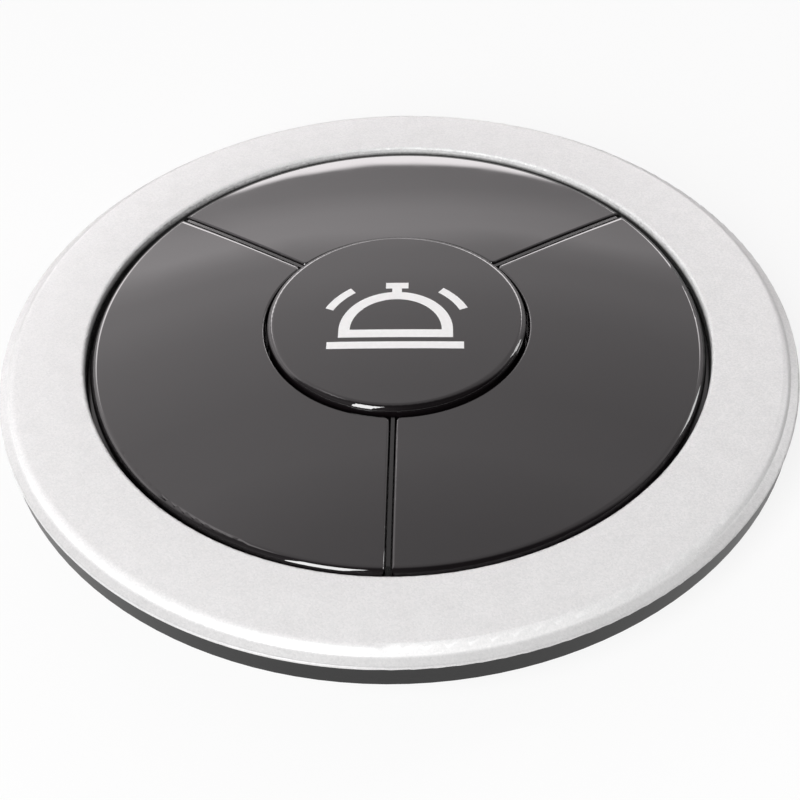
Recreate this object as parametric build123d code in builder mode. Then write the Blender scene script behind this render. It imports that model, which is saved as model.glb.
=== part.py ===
from build123d import *
import os
from math import cos, radians, sin, sqrt, tan

# Waiter call button: a round table-top transmitter with one raised centre key inside three
# sector keys, framed by a silver ring. Millimetres. +Z is up, the origin is the centre of the
# underside, and -Y faces the guest. One groove runs to the front; two more run back and outwards.

# ---------------------------------------------------------------- driving dimensions
outer_radius = 45.0           # silver ring, at its lower lip
opening_radius = 35.4         # hole of the silver ring
call_key_radius = 14.7
total_height = 14.6           # from the table to the crown of the centre key
ring_height = 12.6            # top of the silver ring
parting_height = 10.8         # where the silver ring meets the dark base
band_foot_height = 8.35       # lower edge of the upright dark band
underside_height = 0.8        # base above the table, standing on its pad
wall = 1.9                    # base moulding
floor_thickness = 1.6

key_travel = 0.4
switch_travel = 0.25
face_dome_radius = 380.0      # the whole face is a very shallow dome
face_crown_height = 13.8      # where the sector keys' dome would cross the axis
groove_width = 0.64
sector_roll_radius = 1.0      # rolled rim of the sector keys, beside the silver ring
sector_edge_radius = 0.3      # rounding of their other top edges
call_edge_radius = 0.8        # rounding of the centre key's top edge
key_plate = 1.3               # thickness of the sector keys' top plates
call_key_plate = 1.7
key_wall = 1.1
running_gap = 0.12            # between a sector key and the spoke beside it

# Each groove runs outward at an azimuth from a pivot on the Y axis: (pivot y, azimuth).
front_groove = (0.0, 270)
left_groove = (2.0, 145)
right_groove = (2.0, 35)
grooves = (front_groove, left_groove, right_groove)
key_azimuths = {"rear_key": 90, "left_key": 206, "right_key": 334}
screw_azimuths = (90, 210, 330)
sixth_azimuths = range(0, 360, 60)

# ---------------------------------------------------------------- stack heights
floor_top = underside_height + floor_thickness
board_bottom = 6.1
board_top = 7.3
deck_bottom = 8.6             # deck of the key frame
deck_top = 9.6
boss_top = deck_top + 0.4
skirt_foot = deck_top + key_travel + 0.2
switch_top = board_top + 2.3
plunger_top = board_top + 3.4
post_foot = plunger_top + key_travel - switch_travel
call_pocket_top = total_height - call_key_plate

# ---------------------------------------------------------------- shared radii
sector_inner_radius = call_key_radius + 0.3
sector_outer_radius = opening_radius - 0.5
sector_switch_radius = 24.0
screw_radius = 31.0           # circle of the three cover screws
pin_radius = 30.0             # circle of the two pins that locate the board
pin_azimuths = (60, 240)
frame_radius = 41.8
base_radius = outer_radius - 0.2
base_inner_radius = 42.4
joint_radius = 43.2           # low lip of the base inside the silver ring
floor_radius = 35.6           # where the flat underside turns up into the flared side
board_radius = 35.0
guide_tube_radius = 12.9
snap_radius = 39.4            # snap hooks of the silver ring
snap_width = 4.6

# Each leg is (radius, azimuth from the middle of its key, +1 hooks outward or -1 inward).
sector_legs = ((31.8, -40, 1), (31.8, 40, 1), (17.6, 0, -1))
call_legs = ((10.4, 30, 1), (10.4, 150, 1), (10.4, 270, 1))
leg_thickness = 1.1
leg_width = 3.0
hook_reach = 0.6
hook_height = 0.6
hook_top = deck_bottom - 0.05
slot_clearance = 0.25         # round each leg and hook in the deck

# ---------------------------------------------------------------- battery compartment
cell_radius = 10.0            # CR2032 coin cell
cell_height = 3.2
cell_bottom = 2.4
door_radius = 12.0
door_hole_radius = 12.15
door_plate = 1.2
lug_radius = 13.3
lug_half_angle = 11
lug_azimuths = (60, 180, 300)
door_turn = 30                # bayonet turn from locked to open

os.makedirs("parts", exist_ok=True)


def save(piece, label):
    """Label a finished piece and write its STEP file."""
    piece.part.label = label
    export_step(piece.part, f"parts/{label}.step")


def level_plane(azimuth, height):
    """Level plane whose x points outward at an azimuth."""
    a = radians(azimuth)
    return Plane(origin=(0, 0, height), x_dir=(cos(a), sin(a), 0), z_dir=(0, 0, 1))


def radial_plane(azimuth, pivot=0):
    """Upright plane from a pivot on the Y axis: x points outward at an azimuth and y points up."""
    a = radians(azimuth)
    return Plane(origin=(0, pivot, 0), x_dir=(cos(a), sin(a), 0), z_dir=(sin(a), -cos(a), 0))


def along_groove(pivot, azimuth, radius):
    """Distance from a groove's pivot to where the groove crosses a radius."""
    a = radians(azimuth)
    return sqrt(radius**2 - (pivot * cos(a)) ** 2) - pivot * sin(a)


def turned(azimuths, radius=0):
    """Places at a radius, one for each azimuth, with x pointing outward."""
    angles = [radians(azimuth) for azimuth in azimuths]
    points = [(radius * cos(a), radius * sin(a), 0) for a in angles]
    return [Location(point, (0, 0, azimuth)) for point, azimuth in zip(points, azimuths)]


def arc_block(inner, outer, half_angle):
    """Piece of a ring centred on +X, given by its half angle in degrees."""
    reach = 2 * outer
    spread = reach * tan(radians(half_angle))
    with BuildSketch() as block:
        Circle(outer)
        if inner > 0:
            Circle(inner, mode=Mode.SUBTRACT)
        with BuildLine():
            Polyline((0, 0), (reach, spread), (reach, -spread), close=True)
        make_face(mode=Mode.INTERSECT)
    return block.sketch


def dome_height(crown_height, radius):
    """Height at a radius of a dome with the face's curvature and this crown."""
    return crown_height - face_dome_radius + sqrt(face_dome_radius**2 - radius**2)


# ---------------------------------------------------------------- silver ring
with BuildPart() as bezel_ring:
    edge_radius = 0.35
    shoulder_radius = 1.1
    cove_radius = 0.3
    inner_edge = (opening_radius, ring_height - edge_radius)
    top_start = (opening_radius + edge_radius, ring_height)
    shoulder_start = (43.0, ring_height - 0.22)
    flange_end = (outer_radius - 0.2, parting_height + 0.46)
    lip_point = (outer_radius, parting_height + 0.25)
    lip_foot = (outer_radius - 0.15, parting_height)
    plate_underside = ring_height - 1.3
    skirt_radius = opening_radius + 1.5
    with BuildSketch(Plane.XZ):
        with BuildLine():
            Line((opening_radius, deck_top), inner_edge)
            RadiusArc(inner_edge, top_start, edge_radius)
            # A gentle crown turns down in a tight shoulder, which runs out into a narrow flange.
            crown = RadiusArc(top_start, shoulder_start, 90)
            shoulder = JernArc(crown @ 1, crown % 1, radius=shoulder_radius, arc_size=-61)
            cove = JernArc(shoulder @ 1, shoulder % 1, radius=cove_radius, arc_size=40)
            Line(cove @ 1, flange_end)
            TangentArc(lip_point, flange_end, tangent=(0, 1))
            TangentArc(lip_point, lip_foot, tangent=(0, -1))
            Polyline(
                lip_foot,
                (joint_radius + 0.1, parting_height),
                (joint_radius + 0.1, plate_underside),
                (skirt_radius, plate_underside),
                (skirt_radius, deck_top),
                (opening_radius, deck_top),
            )
        make_face()
    revolve(axis=Axis.Z)
    # Six snap hooks reach through slots in the key frame's flange and catch under it.
    arm_inner = snap_radius - 0.5
    arm_outer = snap_radius + 0.5
    catch = snap_radius + 1.1
    tip_height = deck_bottom - 0.9
    for azimuth in sixth_azimuths:
        with BuildSketch(radial_plane(azimuth)):
            with BuildLine():
                Polyline(
                    (arm_inner, plate_underside + 0.3),
                    (arm_inner, tip_height),
                    (snap_radius + 0.3, tip_height),
                    (catch, deck_bottom - 0.3),
                    (catch, deck_bottom),
                    (arm_outer, deck_bottom),
                    (arm_outer, plate_underside + 0.3),
                    close=True,
                )
            make_face()
        extrude(amount=snap_width / 2, both=True)
save(bezel_ring, "bezel_ring")


# ---------------------------------------------------------------- keys
def domed_blank(drop, foot, roll_radius=0):
    """Solid under the face's dome, lowered by drop, with a flat foot and a sharp or rolled rim."""
    rim_point = (sector_outer_radius, dome_height(face_crown_height - drop, sector_outer_radius))
    crown_point = (0, face_crown_height - drop)
    with BuildPart() as blank:
        with BuildSketch(Plane.XZ) as section:
            with BuildLine():
                RadiusArc(crown_point, rim_point, face_dome_radius)
                Polyline(rim_point, (sector_outer_radius, foot), (0, foot), crown_point)
            make_face()
            if roll_radius > 0:
                fillet(section.vertices().sort_by_distance(rim_point)[0], radius=roll_radius)
        revolve(axis=Axis.Z)
    return blank.part


def sector_outlines(inset, corner):
    """Plan of the three sector keys, drawn in by inset: the ring round the centre key less the grooves."""
    with BuildSketch() as outlines:
        Circle(sector_outer_radius - inset)
        Circle(sector_inner_radius + inset, mode=Mode.SUBTRACT)
        for pivot, azimuth in grooves:
            with Locations(Location((0, pivot, 0), (0, 0, azimuth))):
                Rectangle(
                    outer_radius,
                    groove_width + 2 * inset,
                    align=(Align.MIN, Align.CENTER),
                    mode=Mode.SUBTRACT,
                )
        fillet(outlines.vertices(), radius=corner)
    return outlines.sketch.faces()


def nearest_to(pieces, azimuth):
    """The piece whose middle lies nearest to an azimuth."""
    middle = (sector_switch_radius * cos(radians(azimuth)), sector_switch_radius * sin(radians(azimuth)))
    return pieces.sort_by_distance(middle)[0]


def snap_leg(radius, azimuth, outward, top):
    """Springy leg of a key, with a hook that catches under the deck."""
    stem_side = radius - outward * leg_thickness / 2
    hook_side = radius + outward * leg_thickness / 2
    tip = hook_side + outward * hook_reach
    hook_foot = hook_top - hook_height
    with BuildPart() as leg:
        with BuildSketch(radial_plane(azimuth)):
            with BuildLine():
                Polyline(
                    (stem_side, top),
                    (stem_side, hook_foot),
                    (hook_side, hook_foot),
                    (tip, hook_top - 0.15),
                    (tip, hook_top),
                    (hook_side, hook_top),
                    (hook_side, top),
                    close=True,
                )
            make_face()
        extrude(amount=leg_width / 2, both=True)
    return leg.part


def sector_rib(azimuth):
    """Radial rib that hangs from a sector key's plate, from its inner wall to its outer wall."""
    start = sector_inner_radius + key_wall / 2
    end = sector_outer_radius - key_wall / 2
    start_top = dome_height(face_crown_height, start) - key_plate / 2
    end_top = dome_height(face_crown_height, end) - key_plate / 2
    depth = key_plate / 2 + 0.6
    with BuildPart() as rib:
        with BuildSketch(radial_plane(azimuth)):
            with BuildLine():
                Polyline(
                    (start, start_top),
                    (end, end_top),
                    (end, end_top - depth),
                    (start, start_top - depth),
                    close=True,
                )
            make_face()
        extrude(amount=0.45, both=True)
    return rib.part


post_radius = 1.6
blank_height = total_height - skirt_foot
sector_post_top = dome_height(face_crown_height, sector_switch_radius) - key_plate / 2
plain_blank = domed_blank(0, skirt_foot)
rolled_blank = domed_blank(0, skirt_foot, sector_roll_radius)
pocket_blank = domed_blank(key_plate, skirt_foot - 1)
cap_outlines = sector_outlines(0, 0.7)
pocket_outlines = sector_outlines(key_wall, 0.3)

for name, middle_azimuth in key_azimuths.items():
    ribs = [sector_rib(middle_azimuth + offset_angle) for offset_angle in (-30, 0, 30)]
    hooks = [
        snap_leg(
            radius,
            middle_azimuth + azimuth,
            outward,
            dome_height(face_crown_height, radius) - key_plate / 2,
        )
        for radius, azimuth, outward in sector_legs
    ]

    with BuildPart() as pocket:
        with BuildSketch(Plane.XY.offset(skirt_foot)):
            add(nearest_to(pocket_outlines, middle_azimuth))
        extrude(amount=blank_height)
        add(pocket_blank, mode=Mode.INTERSECT)

    with BuildPart() as sector_key:
        with BuildSketch(Plane.XY.offset(skirt_foot)):
            add(nearest_to(cap_outlines, middle_azimuth))
        extrude(amount=blank_height)
        add(plain_blank, mode=Mode.INTERSECT)
        fillet(sector_key.faces().sort_by(Axis.Z)[-1].edges(), radius=sector_edge_radius)
        add(rolled_blank, mode=Mode.INTERSECT)
        add(pocket.part, mode=Mode.SUBTRACT)
        # Actuator post above the switch, stiffening ribs and snap legs.
        with BuildSketch(Plane.XY.offset(post_foot)):
            with Locations(*turned([middle_azimuth], sector_switch_radius)):
                Circle(post_radius)
        extrude(amount=sector_post_top - post_foot)
        add(ribs)
        add(hooks)
    save(sector_key, name)

call_hooks = [
    snap_leg(radius, azimuth, outward, call_pocket_top + 0.6)
    for radius, azimuth, outward in call_legs
]

with BuildPart() as call_key:
    rim_point = (call_key_radius, dome_height(total_height, call_key_radius))
    rib_length = 2 * guide_tube_radius - 2.8
    with BuildSketch(Plane.XZ):
        with BuildLine():
            RadiusArc((0, total_height), rim_point, face_dome_radius)
            Polyline(rim_point, (call_key_radius, skirt_foot), (0, skirt_foot), (0, total_height))
        make_face()
    revolve(axis=Axis.Z)
    fillet(call_key.faces().sort_by(Axis.Z)[-1].edges(), radius=call_edge_radius)
    with BuildSketch(Plane.XY.offset(skirt_foot)):
        Circle(guide_tube_radius + 0.1)
    extrude(amount=call_pocket_top - skirt_foot, mode=Mode.SUBTRACT)
    with BuildSketch(Plane.XY.offset(post_foot)):
        Circle(post_radius)
    extrude(amount=call_pocket_top + 0.6 - post_foot)
    # Cross ribs stay inside the guide tube.
    with BuildSketch(Plane.XY.offset(call_pocket_top - 1.2)):
        Rectangle(rib_length, 0.9)
        Rectangle(0.9, rib_length)
    extrude(amount=1.8)
    add(call_hooks)
save(call_key, "call_key")


# ---------------------------------------------------------------- key frame
deck_legs = list(call_legs)
for key_azimuth in key_azimuths.values():
    deck_legs += [(radius, key_azimuth + azimuth, outward) for radius, azimuth, outward in sector_legs]

with BuildPart() as key_frame:
    with BuildSketch(Plane.XY.offset(deck_bottom)):
        Circle(frame_radius)
    extrude(amount=deck_top - deck_bottom)
    # A low rim centres the frame in the ring's skirt, and a tube guides the centre key.
    with BuildSketch(Plane.XY.offset(deck_top)):
        Circle(opening_radius - 0.1)
        Circle(opening_radius - 0.5, mode=Mode.SUBTRACT)
    extrude(amount=0.8)
    with BuildSketch(Plane.XY.offset(deck_top)):
        Circle(guide_tube_radius)
        Circle(guide_tube_radius - 1.0, mode=Mode.SUBTRACT)
    extrude(amount=call_pocket_top - key_travel - 0.3 - deck_top)
    # Spokes fill the grooves between the sector keys and show as their floors.
    spoke_crown = face_crown_height - 0.2
    spoke_start = call_key_radius + 0.25
    spoke_bend = sector_outer_radius - 1.0
    spoke_end = sector_outer_radius - 0.1
    start_height = dome_height(spoke_crown, spoke_start)
    bend_height = dome_height(spoke_crown, spoke_bend)
    for pivot, azimuth in grooves:
        start_x = along_groove(pivot, azimuth, spoke_start)
        bend_x = along_groove(pivot, azimuth, spoke_bend)
        end_x = along_groove(pivot, azimuth, spoke_end)
        with BuildSketch(radial_plane(azimuth, pivot)):
            with BuildLine():
                RadiusArc((start_x, start_height), (bend_x, bend_height), face_dome_radius)
                Polyline(
                    (bend_x, bend_height),
                    (end_x, bend_height - 0.6),
                    (end_x, deck_top),
                    (start_x, deck_top),
                    (start_x, start_height),
                )
            make_face()
        extrude(amount=groove_width / 2 - running_gap, both=True)
    # Screw bosses stand on the board; two pins locate it.
    with BuildSketch(Plane.XY.offset(board_top)):
        with Locations(*turned(screw_azimuths, screw_radius)):
            Circle(2.3)
    extrude(amount=boss_top - board_top)
    with BuildSketch(Plane.XY.offset(board_bottom + 0.2)):
        with Locations(*turned(pin_azimuths, pin_radius)):
            Circle(0.75)
    extrude(amount=deck_bottom - board_bottom - 0.2)
    with BuildSketch(Plane.XY.offset(board_top)):
        with Locations(*turned(screw_azimuths, screw_radius)):
            Circle(1.0)
    extrude(amount=boss_top - 0.2 - board_top, mode=Mode.SUBTRACT)
    # Openings for the switches, the keys' legs and the ring's hooks.
    switch_window = 7.0
    with BuildSketch(Plane.XY.offset(deck_bottom)):
        Rectangle(switch_window, switch_window)
        with Locations(*turned(key_azimuths.values(), sector_switch_radius)):
            Rectangle(switch_window, switch_window)
        for radius, azimuth, outward in deck_legs:
            with Locations(*turned([azimuth], radius)):
                Rectangle(leg_thickness + 2 * slot_clearance, leg_width + 2 * slot_clearance)
        with Locations(*turned(sixth_azimuths, snap_radius)):
            Rectangle(1.3, snap_width + 0.4)
    extrude(amount=deck_top - deck_bottom, mode=Mode.SUBTRACT)
save(key_frame, "key_frame")


# ---------------------------------------------------------------- base
pad_inner_radius = 24.5
pad_outer_radius = 34.0
pad_recess = 0.4
counterbore_radius = 2.3
counterbore_top = 3.4
door_notch = arc_block(0, lug_radius + 0.2, lug_half_angle + 1.5)
turn_stop = arc_block(door_hole_radius + 0.25, lug_radius + 0.9, 1.5)

with BuildPart() as bottom_cover:
    # The flared side's inner face lies one wall inside the outer one.
    flare_run = base_radius - floor_radius
    flare_rise = band_foot_height - underside_height
    flare_length = sqrt(flare_run**2 + flare_rise**2)
    inner_foot_radius = floor_radius - wall * flare_rise / flare_length
    inner_foot_height = underside_height + wall * flare_run / flare_length
    inner_floor_radius = inner_foot_radius + (floor_top - inner_foot_height) * flare_run / flare_rise
    inner_bend_height = inner_foot_height + (base_inner_radius - inner_foot_radius) * flare_rise / flare_run
    lip_top = parting_height + 0.3
    with BuildSketch(Plane.XZ):
        with BuildLine():
            Polyline(
                (0, underside_height),
                (floor_radius, underside_height),
                (base_radius, band_foot_height),
                (base_radius, parting_height),
                (joint_radius, parting_height),
                (joint_radius, lip_top),
                (base_inner_radius, lip_top),
                (base_inner_radius, inner_bend_height),
                (inner_floor_radius, floor_top),
                (0, floor_top),
                close=True,
            )
        section = make_face()
        floor_corner = section.vertices().sort_by_distance((floor_radius, underside_height))[0]
        fillet(floor_corner, radius=2.0)
        band_corner = section.vertices().sort_by_distance((base_radius, band_foot_height))[0]
        fillet(band_corner, radius=0.5)
    revolve(axis=Axis.Z)
    # Posts carry the board, and low ribs stiffen the floor.
    with BuildSketch(Plane.XY.offset(floor_top)):
        with Locations(*turned(screw_azimuths, screw_radius)):
            Circle(3.3)
    extrude(amount=board_bottom - floor_top)
    for azimuth in sixth_azimuths:
        with BuildSketch(level_plane(azimuth, floor_top)):
            with Locations((25, 0)):
                Rectangle(19, 1.0)
        extrude(amount=0.8)
    # Low stops hold the door's lugs between locked and open.
    locked_stop = lug_half_angle + 3
    open_stop = -door_turn - lug_half_angle - 4
    for azimuth in lug_azimuths:
        for offset_angle in (locked_stop, open_stop):
            with BuildSketch(level_plane(azimuth + offset_angle, floor_top)):
                add(turn_stop)
            extrude(amount=0.9)
    # Recess for the pad, counterbored screw holes and the bayonet hole of the battery door.
    with BuildSketch(Plane.XY.offset(underside_height)):
        Circle(pad_outer_radius + 0.2)
        Circle(pad_inner_radius - 0.2, mode=Mode.SUBTRACT)
    extrude(amount=pad_recess, mode=Mode.SUBTRACT)
    with BuildSketch(Plane.XY.offset(underside_height)):
        with Locations(*turned(screw_azimuths, screw_radius)):
            Circle(counterbore_radius)
    extrude(amount=counterbore_top - underside_height, mode=Mode.SUBTRACT)
    with BuildSketch(Plane.XY.offset(counterbore_top)):
        with Locations(*turned(screw_azimuths, screw_radius)):
            Circle(1.1)
    extrude(amount=board_bottom - counterbore_top, mode=Mode.SUBTRACT)
    with BuildSketch(Plane.XY.offset(underside_height)):
        Circle(door_hole_radius)
    extrude(amount=floor_thickness, mode=Mode.SUBTRACT)
    for azimuth in lug_azimuths:
        with BuildSketch(level_plane(azimuth - door_turn, underside_height)):
            add(door_notch)
        extrude(amount=floor_thickness, mode=Mode.SUBTRACT)
save(bottom_cover, "bottom_cover")

with BuildPart() as non_slip_pad:
    with BuildSketch():
        Circle(pad_outer_radius)
        Circle(pad_inner_radius, mode=Mode.SUBTRACT)
        with Locations(*turned(screw_azimuths, screw_radius - 0.2)):
            Circle(counterbore_radius - 0.1, mode=Mode.SUBTRACT)
    extrude(amount=underside_height + pad_recess)
save(non_slip_pad, "non_slip_pad")

with BuildPart() as cover_screw:
    head_bottom = 2.0
    head_radius = 2.0
    shank_radius = 1.0
    shank_top = boss_top - 0.3
    cross_length = 2.2
    cross_width = 0.45
    with BuildSketch(Plane.XZ):
        with BuildLine():
            Polyline(
                (0, head_bottom),
                (head_radius - 0.6, head_bottom),
                (head_radius, head_bottom + 0.5),
                (head_radius, counterbore_top),
                (shank_radius, counterbore_top),
                (shank_radius, shank_top - 0.8),
                (0.3, shank_top),
                (0, shank_top),
                close=True,
            )
        make_face()
    revolve(axis=Axis.Z)
    with BuildSketch(Plane.XY.offset(head_bottom)):
        Rectangle(cross_length, cross_width)
        Rectangle(cross_width, cross_length)
    extrude(amount=0.7, mode=Mode.SUBTRACT)
with BuildPart() as cover_screws:
    with Locations(*turned(screw_azimuths, screw_radius)):
        add(cover_screw.part)
save(cover_screws, "cover_screws")

# ---------------------------------------------------------------- battery and its door
door_lug = arc_block(door_radius - 1.0, lug_radius, lug_half_angle)

with BuildPart() as battery_door:
    with BuildSketch(Plane.XY.offset(underside_height)):
        Circle(door_radius)
    extrude(amount=door_plate)
    chamfer(battery_door.faces().sort_by(Axis.Z)[0].edges(), length=0.25)
    with BuildSketch(Plane.XY.offset(underside_height + door_plate)):
        Circle(door_radius - 0.4)
        Circle(door_radius - 1.5, mode=Mode.SUBTRACT)
    extrude(amount=1.2)
    for azimuth in lug_azimuths:
        with BuildSketch(level_plane(azimuth, floor_top + 0.1)):
            add(door_lug)
        extrude(amount=0.7)
    # Three pips carry the cell, and a coin turns the door by its slot.
    with BuildSketch(Plane.XY.offset(underside_height + door_plate)):
        with Locations(*turned(lug_azimuths, cell_radius - 4)):
            Circle(1.0)
    extrude(amount=0.35)
    with BuildSketch(Plane.XY.offset(underside_height)):
        SlotOverall(14, 2.2, rotation=90)
    extrude(amount=0.7, mode=Mode.SUBTRACT)
save(battery_door, "battery_door")

cell_top = cell_bottom + cell_height
with BuildPart() as coin_cell:
    can_top = cell_top - 0.2
    can_mouth = cell_radius - 0.9
    seal_height = cell_top - 0.5
    anode_radius = can_mouth - 0.3
    with BuildSketch(Plane.XZ):
        with BuildLine():
            Polyline(
                (0, cell_bottom),
                (cell_radius, cell_bottom),
                (cell_radius, can_top),
                (can_mouth, can_top),
                (can_mouth, seal_height),
                (anode_radius, seal_height),
                (anode_radius, cell_top),
                (0, cell_top),
                close=True,
            )
        cell_section = make_face()
        fillet(cell_section.vertices().group_by(Axis.X)[-1], radius=0.4)
    revolve(axis=Axis.Z)
save(coin_cell, "coin_cell")

with BuildPart() as battery_holder:
    holder_foot = 3.6
    holder_inner = cell_radius + 0.3
    holder_outer = cell_radius + 1.7
    ear_x = holder_outer + 1
    with BuildSketch(Plane.XY.offset(holder_foot)):
        Circle(holder_outer)
        Circle(holder_inner, mode=Mode.SUBTRACT)
        # Gap for the contact that touches the cell's side.
        with Locations((0, holder_outer - 0.5)):
            Rectangle(4.6, 3, mode=Mode.SUBTRACT)
    extrude(amount=board_bottom - holder_foot)
    with BuildSketch(Plane.XY.offset(board_bottom - 1)):
        with Locations((ear_x, 0), (-ear_x, 0)):
            RectangleRounded(3, 4, 0.8)
    extrude(amount=1)
save(battery_holder, "battery_holder")

leaf = 0.2                    # sheet of the contacts
leaf_half_width = 2.0
with BuildPart() as positive_contact:
    leaf_face = cell_radius + 0.03
    leaf_foot = 4.0
    tab_end = 13.5
    with BuildSketch(radial_plane(90)):
        with BuildLine():
            Polyline(
                (leaf_face, leaf_foot),
                (leaf_face + leaf, leaf_foot),
                (leaf_face + leaf, board_bottom - leaf),
                (tab_end, board_bottom - leaf),
                (tab_end, board_bottom),
                (leaf_face, board_bottom),
                close=True,
            )
        make_face()
    extrude(amount=leaf_half_width, both=True)
save(positive_contact, "positive_contact")

with BuildPart() as negative_contact:
    touch = cell_top + 0.02
    tab_start = -9.0
    bend_x = -6.5
    toe_x = 3.0
    toe_lift = 0.15
    with BuildSketch(Plane.XZ):
        with BuildLine():
            Polyline(
                (tab_start, board_bottom - leaf),
                (bend_x, board_bottom - leaf),
                (0, touch),
                (toe_x, touch + toe_lift),
                (toe_x, touch + toe_lift + leaf),
                (0, touch + leaf),
                (bend_x, board_bottom),
                (tab_start, board_bottom),
                close=True,
            )
        make_face()
    extrude(amount=leaf_half_width, both=True)
save(negative_contact, "negative_contact")

# ---------------------------------------------------------------- circuit board
with BuildPart() as circuit_board:
    with BuildSketch(Plane.XY.offset(board_bottom)):
        Circle(board_radius)
        with Locations(*turned(screw_azimuths, screw_radius)):
            Circle(1.2, mode=Mode.SUBTRACT)
        with Locations(*turned(pin_azimuths, pin_radius)):
            Circle(0.8, mode=Mode.SUBTRACT)
    extrude(amount=board_top - board_bottom)
save(circuit_board, "circuit_board")

chip_place = (20.5, 0)
chip_face = board_bottom - 0.15
chip_half_width = 1.95
with BuildPart() as encoder_chip:
    with BuildSketch(Plane.XY.offset(chip_face)):
        with Locations(chip_place):
            Rectangle(2 * chip_half_width, 8.65)
    extrude(amount=-1.45)
    chamfer(encoder_chip.faces().sort_by(Axis.Z)[0].edges(), length=0.2)
save(encoder_chip, "encoder_chip")

with BuildPart() as encoder_lead:
    lead_pitch = 1.27
    lead_sheet = 0.15
    knee_x = chip_half_width + 0.3
    toe_end = chip_half_width + 1.15
    lead_foot = chip_face - 0.8
    with BuildSketch(Plane.XZ):
        with BuildLine():
            Polyline(
                (chip_half_width, lead_foot),
                (knee_x + lead_sheet, lead_foot),
                (knee_x + lead_sheet, chip_face),
                (toe_end, chip_face),
                (toe_end, board_bottom),
                (knee_x, board_bottom),
                (knee_x, lead_foot + lead_sheet),
                (chip_half_width, lead_foot + lead_sheet),
                close=True,
            )
        make_face()
    extrude(amount=0.2, both=True)
with BuildPart() as lead_rows:
    with GridLocations(0, lead_pitch, 1, 7):
        add(encoder_lead.part)
    mirror(about=Plane.YZ)
with BuildPart() as encoder_leads:
    with Locations(chip_place):
        add(lead_rows.part)
save(encoder_leads, "encoder_leads")

with BuildPart() as saw_resonator:
    can_place = (-20.5, 5.5)
    flange_thickness = 0.4
    with BuildSketch(Plane.XY.offset(board_bottom)):
        with Locations(can_place):
            Circle(4.65)
    extrude(amount=-flange_thickness)
    with BuildSketch(Plane.XY.offset(board_bottom - flange_thickness)):
        with Locations(can_place):
            Circle(4.15)
    extrude(amount=-2.7)
    fillet(saw_resonator.faces().sort_by(Axis.Z)[0].edges(), radius=0.4)
save(saw_resonator, "saw_resonator")

with BuildPart() as transmitter_transistor:
    transistor_x = -8.0
    transistor_y = -20.0
    with BuildSketch(Plane.XY.offset(chip_face)):
        with Locations((transistor_x, transistor_y)):
            Rectangle(2.9, 1.3)
    extrude(amount=-0.95)
    # Two legs on one side and one on the other.
    with BuildSketch(Plane.XY.offset(board_bottom)):
        with Locations((transistor_x, transistor_y - 1)):
            with GridLocations(1.9, 0, 2, 1):
                Rectangle(0.4, 1.0)
        with Locations((transistor_x, transistor_y + 1)):
            Rectangle(0.4, 1.0)
    extrude(amount=-0.3)
save(transmitter_transistor, "transmitter_transistor")

with BuildPart() as chip_components:
    component_length = 2.0
    component_width = 1.25
    with BuildSketch(Plane.XY.offset(board_bottom)):
        with Locations((-17, -12)):
            with GridLocations(3.2, 2.6, 3, 3):
                Rectangle(component_length, component_width)
        with Locations((16, 15)):
            with GridLocations(3.2, 2.6, 3, 2):
                Rectangle(component_length, component_width)
    extrude(amount=-0.6)
save(chip_components, "chip_components")

with BuildPart() as antenna_wire:
    loop_radius = 32.0
    loop_height = 4.9
    wire_radius = 0.4
    loop_start = -18
    loop_sweep = 96
    with BuildSketch(radial_plane(loop_start)):
        with Locations((loop_radius, loop_height)):
            Circle(wire_radius)
    revolve(axis=Axis.Z, revolution_arc=loop_sweep)
    # Both ends turn up into the board.
    for end in (loop_start, loop_start + loop_sweep):
        end_x = loop_radius * cos(radians(end))
        end_y = loop_radius * sin(radians(end))
        with Locations((end_x, end_y, loop_height)):
            Sphere(wire_radius)
        with BuildSketch(Plane.XY.offset(loop_height)):
            with Locations((end_x, end_y)):
                Circle(wire_radius)
        extrude(amount=board_bottom - loop_height)
save(antenna_wire, "antenna_wire")

# ---------------------------------------------------------------- tact switches
switch_side = 6.0
plate_bottom = switch_top - 0.3
well_floor = board_top + 0.8
well_radius = 2.45
dome_top = well_floor + 0.4
stud_spacing_x = 4.6
stud_spacing_y = 4.2
stud_radius = 0.4

with BuildPart() as switch_base:
    with BuildSketch(Plane.XY.offset(board_top)):
        Rectangle(switch_side, switch_side - 0.4)
    extrude(amount=plate_bottom - board_top)
    with BuildSketch(Plane.XY.offset(well_floor)):
        Circle(well_radius)
    extrude(amount=plate_bottom - well_floor, mode=Mode.SUBTRACT)
    # Corner studs are riveted over the metal cover.
    with BuildSketch(Plane.XY.offset(plate_bottom)):
        with GridLocations(stud_spacing_x, stud_spacing_y, 2, 2):
            Circle(stud_radius)
    extrude(amount=0.35)

with BuildPart() as switch_cover:
    flap_thickness = 0.2
    with BuildSketch(Plane.XY.offset(plate_bottom)):
        Rectangle(switch_side, switch_side)
        Circle(1.8, mode=Mode.SUBTRACT)
        with GridLocations(stud_spacing_x, stud_spacing_y, 2, 2):
            Circle(stud_radius + 0.02, mode=Mode.SUBTRACT)
    extrude(amount=switch_top - plate_bottom)
    with BuildSketch(Plane.XY.offset(plate_bottom)):
        with GridLocations(0, switch_side - flap_thickness, 1, 2):
            Rectangle(4.0, flap_thickness)
    extrude(amount=-1.2)

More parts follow.
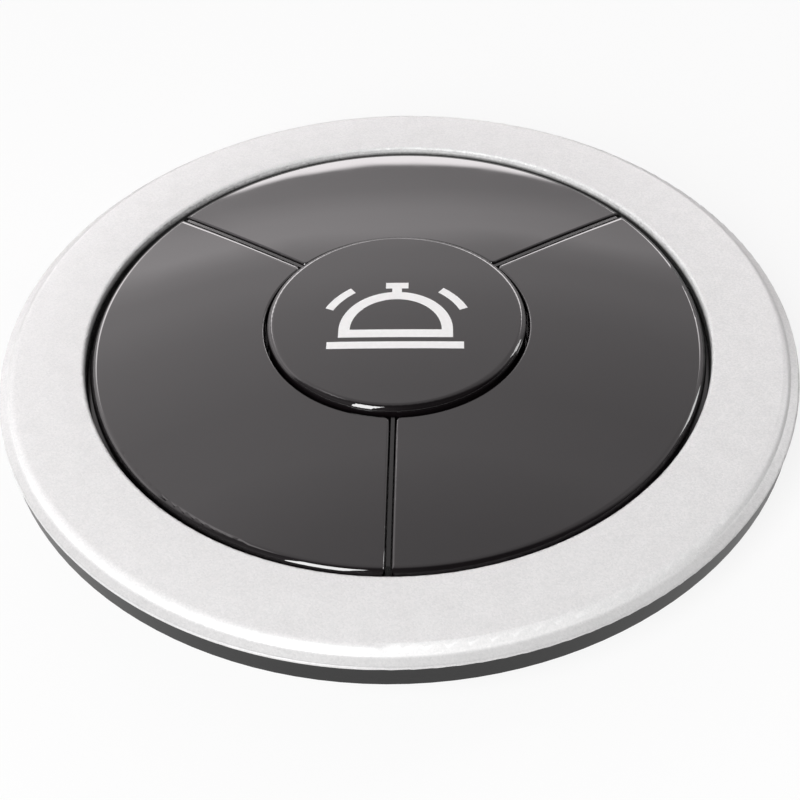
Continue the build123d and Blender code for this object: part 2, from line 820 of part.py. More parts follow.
with BuildPart() as switch_plunger:
    collar_bottom = dome_top + 0.1
    collar_top = plate_bottom - 0.05
    with BuildSketch(Plane.XY.offset(dome_top)):
        Circle(0.7)
    extrude(amount=collar_bottom - dome_top)
    with BuildSketch(Plane.XY.offset(collar_bottom)):
        Circle(well_radius - 0.15)
    extrude(amount=collar_top - collar_bottom)
    with BuildSketch(Plane.XY.offset(collar_top)):
        Circle(1.7)
    extrude(amount=plunger_top - collar_top)
    fillet(switch_plunger.faces().sort_by(Axis.Z)[-1].edges(), radius=0.2)

with BuildPart() as snap_dome:
    dome_skin = 0.08
    dome_edge = 2.2
    dome_rise = dome_top - dome_skin - well_floor
    dome_radius = (dome_edge**2 + dome_rise**2) / (2 * dome_rise)
    with BuildSketch(Plane.XZ):
        with BuildLine():
            RadiusArc((0, dome_top), (dome_edge, well_floor + dome_skin), dome_radius)
            RadiusArc((0, dome_top - dome_skin), (dome_edge, well_floor), dome_radius)
            Line((0, dome_top - dome_skin), (0, dome_top))
            Line((dome_edge, well_floor), (dome_edge, well_floor + dome_skin))
        make_face()
    revolve(axis=Axis.Z)

with BuildPart() as terminal_set:
    terminal_spacing = 4.5
    riser_thickness = 0.15
    with BuildSketch(Plane.XY.offset(board_top)):
        with GridLocations(switch_side + 1, terminal_spacing, 2, 2):
            Rectangle(1.0, 0.6)
    extrude(amount=0.15)
    with BuildSketch(Plane.XY.offset(board_top)):
        with GridLocations(switch_side + riser_thickness, terminal_spacing, 2, 2):
            Rectangle(riser_thickness, 0.6)
    extrude(amount=0.8)

switch_pieces = {
    "switch_base": switch_base,
    "switch_cover": switch_cover,
    "switch_plunger": switch_plunger,
    "snap_dome": snap_dome,
}
switch_places = {"call": Location((0, 0, 0))}
for name, azimuth in key_azimuths.items():
    switch_places[name.removesuffix("_key")] = turned([azimuth], sector_switch_radius)[0]

for key_name, place in switch_places.items():
    for piece_name, piece in switch_pieces.items():
        with BuildPart() as placed_piece:
            with Locations(place):
                add(piece.part)
        save(placed_piece, f"{key_name}_{piece_name}")

with BuildPart() as switch_terminals:
    with Locations(*switch_places.values()):
        add(terminal_set.part)
save(switch_terminals, "switch_terminals")
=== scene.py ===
from math import cos, radians, sin, sqrt

import bmesh
import bpy
from mathutils import Matrix, Quaternion, Vector


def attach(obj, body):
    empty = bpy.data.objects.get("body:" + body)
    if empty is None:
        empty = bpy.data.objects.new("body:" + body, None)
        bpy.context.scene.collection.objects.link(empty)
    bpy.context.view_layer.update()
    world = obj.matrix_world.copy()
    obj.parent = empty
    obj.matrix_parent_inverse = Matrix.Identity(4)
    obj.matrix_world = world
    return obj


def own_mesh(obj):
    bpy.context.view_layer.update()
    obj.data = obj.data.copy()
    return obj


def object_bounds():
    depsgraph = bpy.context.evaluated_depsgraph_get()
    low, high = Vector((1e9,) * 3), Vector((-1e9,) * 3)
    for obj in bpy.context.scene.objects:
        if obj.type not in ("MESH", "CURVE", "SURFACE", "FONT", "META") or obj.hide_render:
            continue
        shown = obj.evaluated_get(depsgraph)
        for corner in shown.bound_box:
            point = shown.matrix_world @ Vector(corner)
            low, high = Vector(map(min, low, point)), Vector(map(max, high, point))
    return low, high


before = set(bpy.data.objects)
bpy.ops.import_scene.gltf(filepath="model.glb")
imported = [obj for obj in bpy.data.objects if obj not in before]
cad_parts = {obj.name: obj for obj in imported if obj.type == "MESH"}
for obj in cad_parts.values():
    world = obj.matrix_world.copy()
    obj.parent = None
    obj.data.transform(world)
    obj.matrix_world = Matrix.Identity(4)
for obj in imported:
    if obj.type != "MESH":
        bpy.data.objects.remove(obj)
cad_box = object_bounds()

mm = 0.001
MIX_A, MIX_B, MIX_RESULT = 6, 7, 2  # the colour sockets of a Mix node
groove_pivot = 2.0 * mm  # where the two rear grooves' middle lines meet, behind the axis
groove_angle = radians(35)  # of those grooves to the X axis


# ---------------------------------------------------------------- finishes
def colour(hex_code):
    """Linear colour with full alpha from an sRGB hex value."""
    channels = [int(hex_code[start:start + 2], 16) / 255 for start in (1, 3, 5)]
    linear = [c / 12.92 if c <= 0.04045 else ((c + 0.055) / 1.055) ** 2.4 for c in channels]
    return (*linear, 1.0)


def add_node(tree, kind, settings=None, inputs=None):
    """Adds one shader node, applies its settings, and links or fills its inputs."""
    node = tree.nodes.new("ShaderNode" + kind)
    for setting, value in (settings or {}).items():
        setattr(node, setting, value)
    for socket, value in (inputs or {}).items():
        if isinstance(value, bpy.types.NodeSocket):
            tree.links.new(value, node.inputs[socket])
        else:
            node.inputs[socket].default_value = value
    return node


def new_finish(name, metallic=0.0, ior=1.5):
    """Starts a finish, and gives its material, node tree, shader and position on the object."""
    material = bpy.data.materials.new(name)
    material.use_nodes = True
    tree = material.node_tree
    shader = tree.nodes["Principled BSDF"]
    shader.inputs["Metallic"].default_value = metallic
    shader.inputs["IOR"].default_value = ior
    place = add_node(tree, "TexCoord").outputs["Object"]
    return material, tree, shader, place


def silver_flake_paint():
    """Silver paint with aluminium flake, sprayed on moulded ABS: a satin metal with a fine glitter.

    Real flakes are about 0.03 mm wide. They are drawn 0.16 mm wide so that they show."""
    flake_width = 0.16 * mm
    cloud_width = 2.5 * mm
    shade_start, shade_full = -10 * mm, -28 * mm  # along Y, towards the front
    lip_start, lip_full = 43.9 * mm, 44.2 * mm  # from the axis
    wall_reach = 36 * mm  # nearer to the axis, the paint lines the opening for the keys
    gap_shade_start, gap_shade_full = 12.05 * mm, 11.5 * mm  # heights on that wall
    glint_start, glint_full = 36.3 * mm, 35.7 * mm  # from the axis

    material, tree, shader, place = new_finish("silver_flake_paint_sprayed", metallic=0.02)
    axes = add_node(tree, "SeparateXYZ", None, {"Vector": place}).outputs
    flat_place = add_node(tree, "VectorMath", {"operation": "MULTIPLY"}, {0: place, 1: (1, 1, 0)})
    reach = add_node(
        tree, "VectorMath", {"operation": "LENGTH"}, {0: flat_place.outputs["Vector"]}
    ).outputs["Value"]
    flakes = add_node(tree, "TexVoronoi", None, {"Vector": place, "Scale": 1 / flake_width})
    mist = add_node(tree, "TexNoise", None, {"Vector": place, "Scale": 1 / cloud_width, "Detail": 5.0})
    split = add_node(tree, "SeparateColor", None, {"Color": flakes.outputs["Color"]})
    tone = add_node(
        tree, "Mix", {"data_type": "RGBA"},
        {0: split.outputs["Red"], MIX_A: colour("#d4d4d4"), MIX_B: colour("#e2e1e1")},
    )
    clouded = add_node(
        tree, "Mix", {"data_type": "RGBA", "blend_type": "MULTIPLY"},
        {0: 0.12, MIX_A: tone.outputs[MIX_RESULT], MIX_B: mist.outputs["Fac"]},
    )
    # Painted shade: the paint's colour is darkened on the outer lip, more so towards the front.
    front = add_node(
        tree, "MapRange", None,
        {"Value": axes["Y"], "From Min": shade_start, "From Max": shade_full, "To Max": 0.7},
    )
    lip = add_node(
        tree, "MapRange", None,
        {
            "Value": reach, "From Min": lip_start, "From Max": lip_full,
            "To Max": front.outputs["Result"],
        },
    )
    lip_shaded = add_node(
        tree, "Mix", {"data_type": "RGBA", "blend_type": "MULTIPLY"},
        {0: lip.outputs["Result"], MIX_A: clouded.outputs[MIX_RESULT], MIX_B: colour("#d9d9d9")},
    )
    # Painted shade: down the wall beside the keys, towards the gap under their edges, the paint's colour
    # is darkened nearly to black.
    depth = add_node(
        tree, "MapRange", None,
        {"Value": axes["Z"], "From Min": gap_shade_start, "From Max": gap_shade_full, "To Max": 0.95},
    )
    beside_keys = add_node(tree, "Math", {"operation": "LESS_THAN"}, {0: reach, 1: wall_reach})
    gap_shade = add_node(
        tree, "Math", {"operation": "MULTIPLY"},
        {0: depth.outputs["Result"], 1: beside_keys.outputs["Value"]},
    )
    coat = add_node(
        tree, "Mix", {"data_type": "RGBA"},
        {0: gap_shade.outputs["Value"], MIX_A: lip_shaded.outputs[MIX_RESULT], MIX_B: colour("#1a1a1a")},
    )
    gloss = add_node(
        tree, "MapRange", None, {"Value": split.outputs["Green"], "To Min": 0.34, "To Max": 0.44}
    )
    # Each flake leans its own way. They pile up unevenly on the rim beside the keys, and glint there.
    lean = add_node(
        tree, "VectorMath", {"operation": "SUBTRACT"}, {0: flakes.outputs["Color"], 1: (0.5, 0.5, 0.5)}
    )
    unevenness = add_node(
        tree, "MapRange", None,
        {"Value": reach, "From Min": glint_start, "From Max": glint_full, "To Min": 0.10, "To Max": 0.45},
    )
    small_lean = add_node(
        tree, "VectorMath", {"operation": "SCALE"},
        {0: lean.outputs["Vector"], "Scale": unevenness.outputs["Result"]},
    )
    surface = add_node(tree, "NewGeometry").outputs["Normal"]
    leaned = add_node(
        tree, "VectorMath", {"operation": "ADD"}, {0: surface, 1: small_lean.outputs["Vector"]}
    )
    facing = add_node(tree, "VectorMath", {"operation": "NORMALIZE"}, {0: leaned.outputs["Vector"]})
    tree.links.new(coat.outputs[MIX_RESULT], shader.inputs["Base Color"])
    tree.links.new(gloss.outputs["Result"], shader.inputs["Roughness"])
    tree.links.new(facing.outputs["Vector"], shader.inputs["Normal"])
    return material


def gloss_black_abs():
    """Black ABS from a polished mould: a deep mirror gloss, very slightly wavy, hazed by wiping."""
    wave_length = 7 * mm
    wave_height = 0.004 * mm
    wipe_width = 3 * mm
    call_key_edge = 14.9 * mm  # from the axis
    roll_start, roll_end = 0.32 * mm, 0.95 * mm  # from a groove's middle line
    roll_lean = 0.30  # of the surface at its edge, as a slope

    material, tree, shader, place = new_finish("gloss_black_abs_polished_mould", ior=1.54)
    waves = add_node(tree, "TexNoise", None, {"Vector": place, "Scale": 1 / wave_length, "Detail": 1.0})
    haze = add_node(tree, "TexNoise", None, {"Vector": place, "Scale": 1 / wipe_width, "Detail": 6.0})
    tone = add_node(
        tree, "Mix", {"data_type": "RGBA"},
        {0: haze.outputs["Fac"], MIX_A: colour("#0b090a"), MIX_B: colour("#110d0f")},
    )
    gloss = add_node(
        tree, "MapRange", None, {"Value": haze.outputs["Fac"], "To Min": 0.01, "To Max": 0.035}
    )
    wavy = add_node(
        tree, "Bump", None, {"Strength": 1.0, "Distance": wave_height, "Height": waves.outputs["Fac"]}
    )
    # The side keys roll off a little where they meet the rear grooves, from polishing the mould.
    flat_place = add_node(tree, "VectorMath", {"operation": "MULTIPLY"}, {0: place, 1: (1, 1, 0)})
    reach = add_node(tree, "VectorMath", {"operation": "LENGTH"}, {0: flat_place.outputs["Vector"]})
    beyond_call_key = add_node(
        tree, "Math", {"operation": "GREATER_THAN"}, {0: reach.outputs["Value"], 1: call_key_edge}
    )
    from_pivot = add_node(
        tree, "VectorMath", {"operation": "SUBTRACT"}, {0: place, 1: (0, groove_pivot, 0)}
    )
    normal = wavy.outputs["Normal"]
    for side in (-1, 1):
        across = Vector((side * sin(groove_angle), -cos(groove_angle), 0))
        from_groove = add_node(
            tree, "VectorMath", {"operation": "DOT_PRODUCT"}, {0: from_pivot.outputs["Vector"], 1: across}
        ).outputs["Value"]
        from_middle = add_node(
            tree, "VectorMath", {"operation": "DOT_PRODUCT"}, {0: place, 1: (side, 0, 0)}
        ).outputs["Value"]
        in_front = add_node(tree, "Math", {"operation": "GREATER_THAN"}, {0: from_groove, 1: 0.0})
        on_side = add_node(tree, "Math", {"operation": "GREATER_THAN"}, {0: from_middle, 1: 0.0})
        roll = add_node(
            tree, "MapRange", None,
            {
                "Value": from_groove, "From Min": roll_start, "From Max": roll_end,
                "To Min": roll_lean, "To Max": 0.0,
            },
        ).outputs["Result"]
        for within in (beyond_call_key, in_front, on_side):
            roll = add_node(
                tree, "Math", {"operation": "MULTIPLY"}, {0: roll, 1: within.outputs["Value"]}
            ).outputs["Value"]
        lean = add_node(tree, "VectorMath", {"operation": "SCALE"}, {0: -across, "Scale": roll})
        normal = add_node(
            tree, "VectorMath", {"operation": "ADD"}, {0: normal, 1: lean.outputs["Vector"]}
        ).outputs["Vector"]
    facing = add_node(tree, "VectorMath", {"operation": "NORMALIZE"}, {0: normal})
    tree.links.new(tone.outputs[MIX_RESULT], shader.inputs["Base Color"])
    tree.links.new(gloss.outputs["Result"], shader.inputs["Roughness"])
    tree.links.new(facing.outputs["Vector"], shader.inputs["Normal"])
    return material


def moulded(name, dark, light, grain, depth, smooth, rough, specks=0.0, ior=1.5):
    """A moulded or moulded-and-cured material: its grain size and depth are in millimetres."""
    flow_width = 6 * mm  # of the faint clouds that the melt leaves
    material, tree, shader, place = new_finish(name, ior=ior)
    skin = add_node(
        tree, "TexNoise", None, {"Vector": place, "Scale": 1 / (grain * mm), "Detail": 3.0}
    )
    flow = add_node(tree, "TexNoise", None, {"Vector": place, "Scale": 1 / flow_width, "Detail": 4.0})
    tone = add_node(
        tree, "Mix", {"data_type": "RGBA"},
        {0: flow.outputs["Fac"], MIX_A: colour(dark), MIX_B: colour(light)},
    )
    speckled = add_node(
        tree, "Mix", {"data_type": "RGBA", "blend_type": "OVERLAY"},
        {0: specks, MIX_A: tone.outputs[MIX_RESULT], MIX_B: skin.outputs["Color"]},
    )
    gloss = add_node(
        tree, "MapRange", None, {"Value": flow.outputs["Fac"], "To Min": smooth, "To Max": rough}
    )
    relief = add_node(
        tree, "Bump", None, {"Strength": 1.0, "Distance": depth * mm, "Height": skin.outputs["Fac"]}
    )
    tree.links.new(speckled.outputs[MIX_RESULT], shader.inputs["Base Color"])
    tree.links.new(gloss.outputs["Result"], shader.inputs["Roughness"])
    tree.links.new(relief.outputs["Normal"], shader.inputs["Normal"])
    return material


def worked_metal(name, dark, light, line, stretch, smooth, rough):
    """A plated, rolled or drawn metal: line is the width of its grain in millimetres."""
    stain_width = 2 * mm
    line_depth = 0.002 * mm
    material, tree, shader, place = new_finish(name, metallic=1.0)
    along = add_node(tree, "Mapping", None, {"Vector": place, "Scale": stretch})
    grain = add_node(
        tree, "TexNoise", None,
        {"Vector": along.outputs["Vector"], "Scale": 1 / (line * mm), "Detail": 4.0},
    )
    stain = add_node(tree, "TexNoise", None, {"Vector": place, "Scale": 1 / stain_width, "Detail": 3.0})
    tone = add_node(
        tree, "Mix", {"data_type": "RGBA"},
        {0: stain.outputs["Fac"], MIX_A: colour(dark), MIX_B: colour(light)},
    )
    gloss = add_node(
        tree, "MapRange", None, {"Value": grain.outputs["Fac"], "To Min": smooth, "To Max": rough}
    )
    relief = add_node(
        tree, "Bump", None, {"Strength": 0.5, "Distance": line_depth, "Height": grain.outputs["Fac"]}
    )
    tree.links.new(tone.outputs[MIX_RESULT], shader.inputs["Base Color"])
    tree.links.new(gloss.outputs["Result"], shader.inputs["Roughness"])
    tree.links.new(relief.outputs["Normal"], shader.inputs["Normal"])
    return material


def solder_mask_laminate():
    """Glass-epoxy board under green solder mask: the weave shows faintly, and copper runs show pale."""
    weave_pitch = 3 * mm
    run_spacing = 12 * mm
    run_step = 0.02 * mm
    material, tree, shader, place = new_finish("solder_mask_glass_epoxy_board")
    threads = [
        add_node(tree, "TexWave", {"bands_direction": axis}, {"Vector": place, "Scale": 1 / weave_pitch})
        for axis in ("X", "Y")
    ]
    weave = add_node(
        tree, "Math", {"operation": "MULTIPLY"},
        {0: threads[0].outputs["Fac"], 1: threads[1].outputs["Fac"]},
    )
    runs = add_node(
        tree, "TexBrick", {"offset": 0.5},
        {
            "Vector": place, "Scale": 1 / run_spacing, "Mortar Size": 0.02,
            "Color1": colour("#1d5a34"), "Color2": colour("#1a5130"), "Mortar": colour("#3c8652"),
        },
    )
    tone = add_node(
        tree, "Mix", {"data_type": "RGBA", "blend_type": "OVERLAY"},
        {0: 0.12, MIX_A: runs.outputs["Color"], MIX_B: weave.outputs["Value"]},
    )
    gloss = add_node(
        tree, "MapRange", None, {"Value": weave.outputs["Value"], "To Min": 0.22, "To Max": 0.32}
    )
    relief = add_node(tree, "Bump", None, {"Distance": run_step, "Height": runs.outputs["Fac"]})
    tree.links.new(tone.outputs[MIX_RESULT], shader.inputs["Base Color"])
    tree.links.new(gloss.outputs["Result"], shader.inputs["Roughness"])
    tree.links.new(relief.outputs["Normal"], shader.inputs["Normal"])
    return material


slot_finishes = {
    "silver_paint": silver_flake_paint(),
    "key_gloss": gloss_black_abs(),
    "board_green": solder_mask_laminate(),
    # ABS from a semi-polished mould: a soft sheen down in the grooves.
    "frame_black": moulded(
        "satin_black_abs_moulded", "#0d0d0d", "#141414", 0.3, 0.002, 0.10, 0.16, ior=1.4
    ),
    # ABS from a spark-eroded mould: a fine even grain that dulls the black and traps some light.
    "base_black": moulded(
        "grained_black_abs_spark_eroded", "#0c0c0c", "#121212", 0.18, 0.004, 0.28, 0.36, ior=1.42
    ),
    # Moulded rubber: flat black with a pale bloom.
    "pad_rubber": moulded(
        "black_rubber_compression_moulded", "#1b1b1b", "#2b2a29", 0.25, 0.03, 0.75, 0.9, specks=0.2
    ),
    # Glass-filled nylon: dull, with fibre streaks near its skin.
    "holder_plastic": moulded(
        "glass_filled_nylon_moulded", "#1e1f21", "#2f3033", 0.2, 0.01, 0.45, 0.6, specks=0.3
    ),
    # Epoxy with silica filler: a fine-grained charcoal.
    "chip_black": moulded(
        "silica_filled_epoxy_transfer_moulded", "#1c1c1e", "#28282a", 0.08, 0.01, 0.55, 0.7, specks=0.3
    ),
    # Polyester switch body: an even dull black.
    "switch_black": moulded("black_polyester_moulded", "#171718", "#202021", 0.12, 0.005, 0.4, 0.5),
    # Acetal: slippery and slightly waxy.
    "plunger_black": moulded("black_acetal_moulded", "#141414", "#1c1c1c", 0.2, 0.002, 0.22, 0.3),
    # Sintered ceramic: chalky tan with darker grains.
    "ceramic_tan": moulded(
        "tan_ceramic_sintered", "#9a7a55", "#b8976d", 0.06, 0.005, 0.4, 0.55, specks=0.4
    ),
    # Zinc plate on steel: pale, with a faint cloudy passivation.
    "screw_steel": worked_metal(
        "zinc_plated_steel_barrel_polished", "#b4b6bc", "#d2d0c4", 0.08, (1, 1, 3), 0.2, 0.4
    ),
    # Hot-dipped tin: bright and softly rippled.
    "tinned_leads": worked_metal(
        "tinned_copper_hot_dipped", "#c9c9c6", "#dededa", 0.25, (1, 1, 1), 0.15, 0.35
    ),
    # Nickel on drawn steel: a clean can with drawing lines up its side.
    "can_steel": worked_metal(
        "nickel_plated_steel_deep_drawn", "#bdb9b0", "#d3d0c8", 0.05, (1, 1, 0.1), 0.15, 0.35
    ),
    # Enamelled copper: orange metal under clear varnish.
    "copper_wire": worked_metal(
        "enamelled_copper_drawn", "#b8623a", "#cf7a4c", 0.1, (1, 1, 0.3), 0.12, 0.28
    ),
    # Nickel on spring bronze strip: rolling lines along its length.
    "contact_steel": worked_metal(
        "nickel_plated_bronze_rolled", "#b9b6ad", "#cdcac2", 0.06, (0.1, 1, 1), 0.2, 0.38
    ),
    # Stainless cell can: finely brushed, with a few handling marks.
    "cell_steel": worked_metal(
        "stainless_steel_brushed", "#c2c2c0", "#d6d6d4", 0.07, (0.08, 1, 1), 0.18, 0.36
    ),
    # Tinned steel frame plate: a rolled, slightly mottled sheet.
    "switch_steel": worked_metal(
        "tinned_steel_rolled", "#bfc0bf", "#d4d4d2", 0.08, (0.2, 1, 1), 0.2, 0.4
    ),
    # Spring steel: hard, bright and smooth.
    "dome_steel": worked_metal(
        "stainless_spring_steel_stamped", "#c6c5c2", "#dad9d6", 0.05, (1, 1, 1), 0.08, 0.2
    ),
}
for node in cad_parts.values():
    for material_slot in node.material_slots:
        material_slot.material = slot_finishes[material_slot.name]


# ---------------------------------------------------------------- snap domes
# A pressed plunger goes down 0.25 mm of its dome's 0.4 mm rise. Here each dome is only given a mesh of
# its own.
for key in ("call", "rear", "left", "right"):
    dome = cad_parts[key + "_snap_dome"]
    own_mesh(dome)


# ---------------------------------------------------------------- printed bell sign
key_crown = cad_box[1][2]
face_radius = 380 * mm
ink_thickness = 0.008 * mm  # what a pad lays down in one hit
ink_root = 0.02 * mm  # how far the ink's underside lies below the key's face

bell_foot = -2.6 * mm  # along Y, the lower edge of the bell's body
stroke = 1.25 * mm
bell_radius = 5.15 * mm  # to the inside of its stroke
base_half_width, base_half_depth, base_drop = 7.6 * mm, 0.55 * mm, 2.5 * mm
stem_half_width, stem_half_depth, stem_place = 0.55 * mm, 0.35 * mm, 4.1 * mm
knob_half_width, knob_half_depth, knob_place = 1.3 * mm, 0.5 * mm, 4.95 * mm
mark_inner, mark_outer = 7.9 * mm, 8.9 * mm  # the two arcs that stand for its sound
mark_low, mark_high = radians(24.775), radians(53.13)  # above the X axis


def flat_arc(bm, inner, outer, centre, cuts):
    """A flat ring about centre, cut down by planes given as (point, direction to keep)."""
    loops = [
        bmesh.ops.create_circle(bm, segments=160, radius=radius, matrix=Matrix.Translation(centre))
        for radius in (inner, outer)
    ]
    rims = [edge for loop in loops for vert in loop["verts"] for edge in vert.link_edges]
    faces = bmesh.ops.bridge_loops(bm, edges=list(dict.fromkeys(rims)))["faces"]
    for point, keep in cuts:
        around = {edge for face in faces for edge in face.edges}
        around |= {vert for face in faces for vert in face.verts}
        left = bmesh.ops.bisect_plane(
            bm, geom=faces + list(around), plane_co=point, plane_no=keep, clear_inner=True
        )["geom"]
        faces = [piece for piece in left if isinstance(piece, bmesh.types.BMFace) and piece.is_valid]


def flat_bar(bm, half_width, half_depth, centre):
    """A flat bar with its long sides across, divided finely enough to follow the key's dome."""
    shape = Matrix.Translation(centre) @ Matrix.Diagonal((half_width, half_depth, 1, 1))
    bmesh.ops.create_grid(bm, x_segments=20, y_segments=2, size=1, matrix=shape)


def finished_piece(name, bm, body, material):
    """Turns a bmesh into a piece that rides on a body."""
    bmesh.ops.remove_doubles(bm, verts=bm.verts, dist=0.0005 * mm)
    bmesh.ops.recalc_face_normals(bm, faces=bm.faces)
    mesh = bpy.data.meshes.new(name)
    bm.to_mesh(mesh)
    bm.free()
    piece = bpy.data.objects.new(name, mesh)
    bpy.context.scene.collection.objects.link(piece)
    mesh.materials.append(material)
    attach(piece, body)


def pad_printed_ink():
    """White epoxy ink laid by a pad: nearly opaque, duller than the gloss under it, thin in places."""
    thin_spot = 0.5 * mm
    material, tree, shader, place = new_finish("white_epoxy_ink_pad_printed", ior=1.52)
    lay = add_node(tree, "TexNoise", None, {"Vector": place, "Scale": 1 / thin_spot, "Detail": 4.0})
    tone = add_node(
        tree, "Mix", {"data_type": "RGBA"},
        {0: lay.outputs["Fac"], MIX_A: colour("#dfdede"), MIX_B: colour("#ebebeb")},
    )
    gloss = add_node(
        tree, "MapRange", None, {"Value": lay.outputs["Fac"], "To Min": 0.35, "To Max": 0.5}
    )
    tree.links.new(tone.outputs[MIX_RESULT], shader.inputs["Base Color"])
    tree.links.new(gloss.outputs["Result"], shader.inputs["Roughness"])
    return material


sign = bmesh.new()
bell_centre = Vector((0, bell_foot, 0))
up = Vector((0, 1, 0))
flat_arc(sign, bell_radius, bell_radius + stroke, bell_centre, [(bell_centre, up)])
flat_bar(sign, bell_radius + stroke, stroke / 2, bell_centre - up * stroke / 2)
flat_bar(sign, base_half_width, base_half_depth, bell_centre - up * base_drop)
flat_bar(sign, stem_half_width, stem_half_depth, up * stem_place)
flat_bar(sign, knob_half_width, knob_half_depth, up * knob_place)
for side in (-1, 1):
    above_low = Vector((-side * sin(mark_low), cos(mark_low), 0))
    below_high = Vector((side * sin(mark_high), -cos(mark_high), 0))
    cuts = [(bell_centre, above_low), (bell_centre, below_high)]
    flat_arc(sign, mark_inner, mark_outer, bell_centre, cuts)
flat = list(sign.faces)
raised = bmesh.ops.extrude_face_region(sign, geom=flat)["geom"]
raised = [piece for piece in raised if isinstance(piece, bmesh.types.BMVert)]
bmesh.ops.translate(sign, verts=raised, vec=(0, 0, ink_thickness + ink_root))
for vert in sign.verts:
    drop = face_radius - sqrt(face_radius**2 - vert.co.x**2 - vert.co.y**2)
    vert.co.z += key_crown - drop - ink_root
finished_piece("bell_sign_ink", sign, "call_key", pad_printed_ink())


# ---------------------------------------------------------------- floor, light and camera
# Brightness of the grey room, by the sine of its height above the floor.
room_levels = [
    (0.0, 1.35), (0.442, 1.45), (0.475, 1.65), (0.51, 2.25), (0.538, 2.5), (0.56, 1.95), (0.58, 1.74),
    (0.605, 1.74), (0.65, 1.54), (0.74, 1.38), (0.80, 1.42), (0.86, 1.15), (0.93, 1.0),
]
ramp_top = 10  # a colour ramp's colours stay below 1, so the levels are divided by this
sweep_level = 8.6
patch_level = 3.0
# Paint and plastic keep their own colours because diffuse rays take only these shares of the light.
room_share = 0.17
sweep_share = 0.38

floor_opening = 32.0 * mm  # under the rubber pad, so that light reaches the underside from below
floor_radius = 4.0
floor_white = 0.85  # the share of plain white that the camera sees in it; the rest keeps the shadow
floor_mirrored = 0.05  # the same share for mirror rays


def white_floor():
    """White paper floor: it shows as white and keeps a soft shadow. From below it is clear."""
    material = bpy.data.materials.new("white_paper_floor")
    material.use_nodes = True
    tree = material.node_tree
    tree.nodes.clear()
    paper = add_node(tree, "BsdfDiffuse", None, {"Color": colour("#f2f2f2")})
    white = add_node(tree, "Emission", None, {"Color": (1, 1, 1, 1), "Strength": 1.0})
    path = add_node(tree, "LightPath").outputs
    looked_at = add_node(
        tree, "Math", {"operation": "MAXIMUM"},
        {0: path["Is Camera Ray"], 1: path["Is Transmission Ray"]},
    )
    mirrored = add_node(
        tree, "Math", {"operation": "MULTIPLY"}, {0: path["Is Glossy Ray"], 1: floor_mirrored}
    )
    share = add_node(
        tree, "Math", {"operation": "MULTIPLY_ADD"},
        {0: looked_at.outputs["Value"], 1: floor_white, 2: mirrored.outputs["Value"]},
    )
    from_above = add_node(
        tree, "MixShader", None,
        {0: share.outputs["Value"], 1: paper.outputs["BSDF"], 2: white.outputs["Emission"]},
    )
    below = add_node(tree, "NewGeometry").outputs["Backfacing"]
    clear = add_node(tree, "BsdfTransparent").outputs["BSDF"]
    one_sided = add_node(
        tree, "MixShader", None, {0: below, 1: from_above.outputs["Shader"], 2: clear}
    )
    add_node(tree, "OutputMaterial", None, {"Surface": one_sided.outputs["Shader"]})
    return material


ground = bmesh.new()
flat_arc(ground, floor_opening, floor_radius, Vector((0, 0, 0)), [])
ground.normal_update()
bmesh.ops.reverse_faces(ground, faces=[face for face in ground.faces if face.normal.z < 0])
floor_mesh = bpy.data.meshes.new("floor")
ground.to_mesh(floor_mesh)
ground.free()
floor = bpy.data.objects.new("floor", floor_mesh)
floor_mesh.materials.append(white_floor())
bpy.context.scene.collection.objects.link(floor)


def eased(tree, ramps, product=1.0):
    """Multiplies soft-ended ramps: each is (value, start, end, level at start, level at end)."""
    for value, start, end, level, end_level in ramps:
        ramp = add_node(
            tree, "MapRange", {"interpolation_type": "SMOOTHSTEP"},
            {"Value": value, "From Min": start, "From Max": end, "To Min": level, "To Max": end_level},
        )
        product = add_node(
            tree, "Math", {"operation": "MULTIPLY"}, {0: product, 1: ramp.outputs["Result"]}
        ).outputs["Value"]
    return product


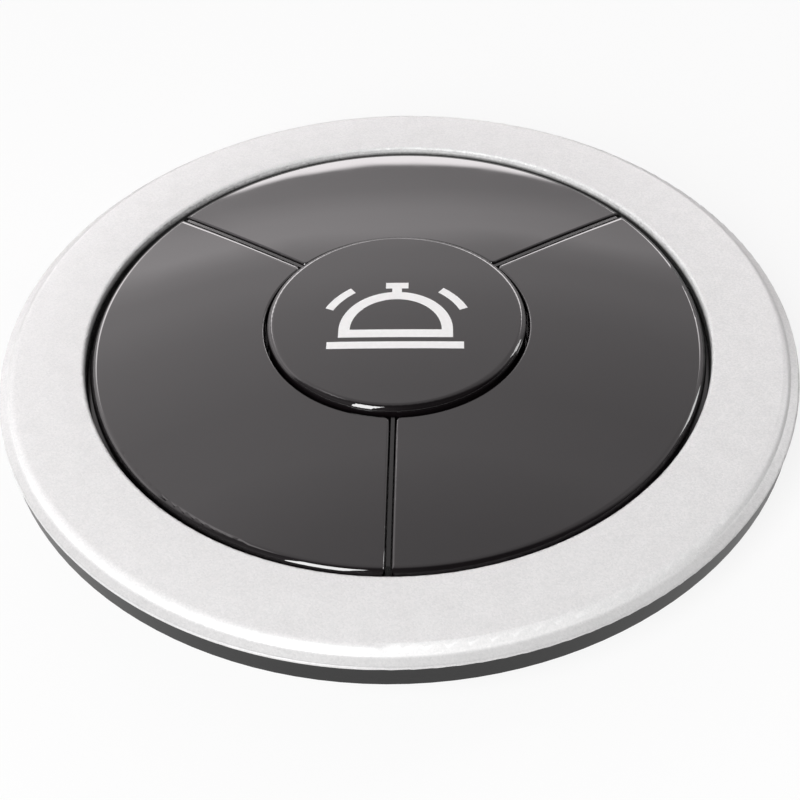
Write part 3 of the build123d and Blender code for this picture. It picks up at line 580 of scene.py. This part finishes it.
def studio_world():
    """A bright white sweep low behind the object, a grey room above it, and darkness over the camera."""
    world = bpy.data.worlds.new("studio")
    world.use_nodes = True
    tree = world.node_tree
    tree.nodes.clear()
    direction = add_node(tree, "TexCoord").outputs["Generated"]
    x, y, z = add_node(tree, "SeparateXYZ", None, {"Vector": direction}).outputs

    heights = add_node(tree, "ValToRGB", None, {"Fac": z})
    steps = heights.color_ramp.elements
    steps.remove(steps[1])
    for height, level in room_levels:
        step = steps.new(height) if height else steps[0]
        step.color = (level / ramp_top, level / ramp_top, level / ramp_top, 1)
    # The room is brighter on the left, dark over the camera and on the far right.
    dark_level = eased(tree, [(x, -0.5, 0.3, 0.20, 0.06)])
    dark_until = eased(tree, [(x, -0.45, -0.2, -0.14, -0.25)])
    light_from = eased(tree, [(x, -0.45, -0.2, 0.06, 0.26)])
    room_ramps = [
        (x, -0.5, 0.5, 1.3 * ramp_top, 0.79 * ramp_top),
        (y, dark_until, light_from, dark_level, 1),
        (x, 0.72, 0.92, 1, 0.3),
    ]
    room = eased(tree, room_ramps, heights.outputs["Color"])
    # A bright patch of ceiling hangs over the object, on the left.
    patch_ramps = [
        (x, -0.52, -0.44, 0, 1), (x, -0.36, -0.30, 1, 0),
        (y, -0.10, 0.0, 0, 1), (y, 0.2, 0.3, patch_level, 0),
    ]
    patch = eased(tree, patch_ramps)
    # The sweep's upper edge is lowest a little left of the middle, and rises to both sides.
    sweep_middle, sweep_rise = -0.045, 0.8
    off_middle = add_node(tree, "Math", {"operation": "SUBTRACT"}, {0: x, 1: sweep_middle})
    off_squared = add_node(
        tree, "Math", {"operation": "MULTIPLY"},
        {0: off_middle.outputs["Value"], 1: off_middle.outputs["Value"]},
    )
    edge_height = add_node(
        tree, "Math", {"operation": "MULTIPLY_ADD"},
        {0: off_squared.outputs["Value"], 1: -sweep_rise, 2: z},
    ).outputs["Value"]
    sweep_ramps = [
        (x, -0.60, -0.50, 0, 1), (x, 0.40, 0.50, 1, 0), (y, 0.1, 0.3, 0, sweep_level),
        (edge_height, 0.432, 0.440, 1, 0), (z, 0.29, 0.40, 0, 1),
    ]
    sweep = eased(tree, sweep_ramps)

    path = add_node(tree, "LightPath").outputs
    over_object = add_node(tree, "Math", {"operation": "MAXIMUM"}, {0: room, 1: patch}).outputs["Value"]
    kept = []
    for brightness, diffuse_share in ((over_object, room_share), (sweep, sweep_share)):
        share = add_node(
            tree, "Math", {"operation": "MULTIPLY_ADD"},
            {0: path["Is Diffuse Ray"], 1: diffuse_share - 1, 2: 1.0},
        )
        taken = add_node(
            tree, "Math", {"operation": "MULTIPLY"}, {0: brightness, 1: share.outputs["Value"]}
        )
        kept.append(taken.outputs["Value"])
    strength = add_node(tree, "Math", {"operation": "MAXIMUM"}, {0: kept[0], 1: kept[1]})
    around = add_node(
        tree, "Background", None,
        {"Color": (1, 0.955, 0.97, 1), "Strength": strength.outputs["Value"]},
    )
    white = add_node(tree, "Background", None, {"Color": (1, 1, 1, 1), "Strength": 1.0})
    looked_at = add_node(
        tree, "Math", {"operation": "MAXIMUM"},
        {0: path["Is Camera Ray"], 1: path["Is Transmission Ray"]},
    )
    shown = add_node(
        tree, "MixShader", None,
        {
            0: looked_at.outputs["Value"], 1: around.outputs["Background"],
            2: white.outputs["Background"],
        },
    )
    add_node(tree, "OutputWorld", None, {"Surface": shown.outputs["Shader"]})
    # Only rays that leave a surface find this world, so that Light Path knows the kind of each.
    world.cycles.sampling_method = "NONE"
    return world


def add_lamp(name, place, width, height, watts):
    """A soft box that faces the object."""
    light = bpy.data.lights.new(name, "AREA")
    light.shape = "RECTANGLE"
    light.size = width
    light.size_y = height
    light.energy = watts
    lamp = bpy.data.objects.new(name, light)
    lamp.location = place
    lamp.rotation_mode = "QUATERNION"
    lamp.rotation_quaternion = Vector(place).to_track_quat("Z", "Y")
    lamp.visible_camera = False
    bpy.context.scene.collection.objects.link(lamp)


add_lamp("key_strip", place=(-0.292, -0.586, 0.459), width=0.23, height=0.68, watts=9.0)
add_lamp("side_strip", place=(0.66, 0.32, 0.27), width=0.15, height=0.3, watts=1.1)

camera_place = Vector((5.973, -114.995, 116.210)) * mm
camera_aim = Vector((0.331, -5.566, 6.403)) * mm
camera_roll = radians(-2.28)
sensor_width = 36  # in millimetres, as a lens is sold
focal_length = 61.07
near_clip = 10 * mm

lens = bpy.data.cameras.new("camera")
lens.sensor_width = sensor_width
lens.lens = focal_length
lens.clip_start = near_clip
camera = bpy.data.objects.new("camera", lens)
camera.location = camera_place
camera.rotation_mode = "QUATERNION"
facing_aim = (camera_place - camera_aim).to_track_quat("Z", "Y")
camera.rotation_quaternion = facing_aim @ Quaternion((0, 0, 1), camera_roll)
bpy.context.scene.collection.objects.link(camera)
bpy.context.scene.camera = camera
bpy.context.scene.world = studio_world()
bpy.context.scene.view_settings.view_transform = "Standard"
